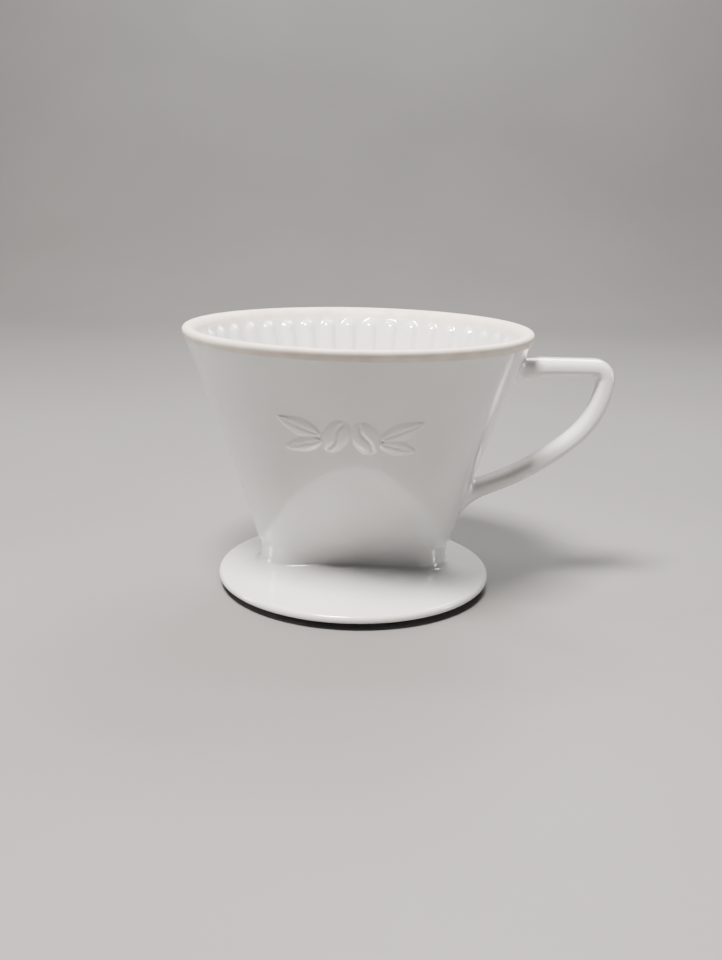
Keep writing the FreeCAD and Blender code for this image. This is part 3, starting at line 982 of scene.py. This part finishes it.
studio = {
    "floor": (0.25, 0.247, 0.244),
    "mottle": 0.96,  # how much darker its darker patches are
    "sweep": {"halfWidth": 3.0, "front": -2.5, "back": 1.3, "height": 2.6, "bend": 0.6},  # in metres
    "world": (0.62, 0.63, 0.65),
    "worldStrength": 0.10,
    "lights": {
        # place and aim in metres, size in metres, power in watts, warmth
        "keyBox": ((-0.18, -0.30, 0.94), (0, 0, 0.04), (0.28, 0.22), 23, (1, 0.945, 0.90)),
        "backBox": ((0.25, 0.50, 0.70), (0, 0, 0.08), (0.5, 0.25), 4, (1, 0.975, 0.95)),
        "sweepBox": ((0, 0.45, 1.3), (0, 1.25, 0.45), (1.6, 0.3), 14, (1, 0.985, 0.97)),
        "leftStrip": ((-0.62, 0.02, 0.12), (0, 0, 0.06), (0.12, 0.30), 1.1, (1, 0.985, 0.965)),
        "rightStrip": ((0.66, -0.10, 0.14), (0, 0, 0.06), (0.10, 0.30), 0.8, (1, 0.975, 0.95)),
    },
    "camera": (0.002147, -0.378338, 0.146690),
    "cameraTurn": (74.088, -1.271, 0.362),  # degrees
    "lens": 39.56,
    "sensorWidth": 36,
}


def makeSweep():
    # the floor runs back and curves up into a backdrop, so that no edge shows
    sweep = studio["sweep"]
    depth = sweep["back"] - sweep["front"]
    selectNothing()
    bpy.ops.mesh.primitive_plane_add(size=1, location=(0, (sweep["back"] + sweep["front"]) / 2, 0))
    floor = bpy.context.active_object
    floor.name = "studioSweep"
    floor.scale = (2 * sweep["halfWidth"], depth, 1)
    bpy.ops.object.transform_apply(location=True, scale=True)
    bpy.ops.object.mode_set(mode="EDIT")
    behind = (sweep["back"] - 0.01) / mm
    pickEdges(floor, lambda start, end: min(start.y, end.y) > behind)
    bpy.ops.mesh.extrude_region_move(TRANSFORM_OT_translate={"value": (0, 0, sweep["height"])})
    pickEdges(floor, lambda start, end: min(start.y, end.y) > behind and max(start.z, end.z) < 1)
    bpy.ops.mesh.bevel(offset=sweep["bend"], segments=32, profile=0.5)
    bpy.ops.object.mode_set(mode="OBJECT")
    bpy.ops.object.shade_smooth()
    material = bpy.data.materials.new("paleFloor")
    material.use_nodes = True
    tree = material.node_tree
    place = addNode(tree, "TexCoord").outputs["Object"]
    mottle = remap(tree, noise(tree, place, grainScales["floor"], 4), 0.35, 0.65)
    shader = tree.nodes["Principled BSDF"]
    shader.inputs["Roughness"].default_value = 0.5
    pale = studio["floor"]
    dim = tuple(part * studio["mottle"] for part in pale)
    tree.links.new(blend(tree, mottle, pale, dim), shader.inputs["Base Color"])
    floor.data.materials.append(material)


def makeLight(name, place, aim, size, power, warmth):
    selectNothing()
    bpy.ops.object.light_add(type="AREA", location=place)
    lamp = bpy.context.active_object
    lamp.name = name
    lamp.rotation_euler = (Vector(aim) - Vector(place)).to_track_quat("-Z", "Y").to_euler()
    lamp.data.shape = "RECTANGLE"
    lamp.data.size, lamp.data.size_y = size
    lamp.data.energy = power
    lamp.data.color = warmth


makeSweep()
for name, light in studio["lights"].items():
    makeLight(name, *light)
world = bpy.data.worlds.new("studio")
world.use_nodes = True
background = world.node_tree.nodes["Background"]
background.inputs["Color"].default_value = (*studio["world"], 1)
background.inputs["Strength"].default_value = studio["worldStrength"]
bpy.context.scene.world = world
selectNothing()
cameraTurn = [math.radians(turn) for turn in studio["cameraTurn"]]
bpy.ops.object.camera_add(location=studio["camera"], rotation=cameraTurn)
camera = bpy.context.active_object
camera.data.lens = studio["lens"]
camera.data.sensor_width = studio["sensorWidth"]
bpy.context.scene.camera = camera
bpy.context.scene.view_settings.look = "AgX - Medium High Contrast"
print("studio")
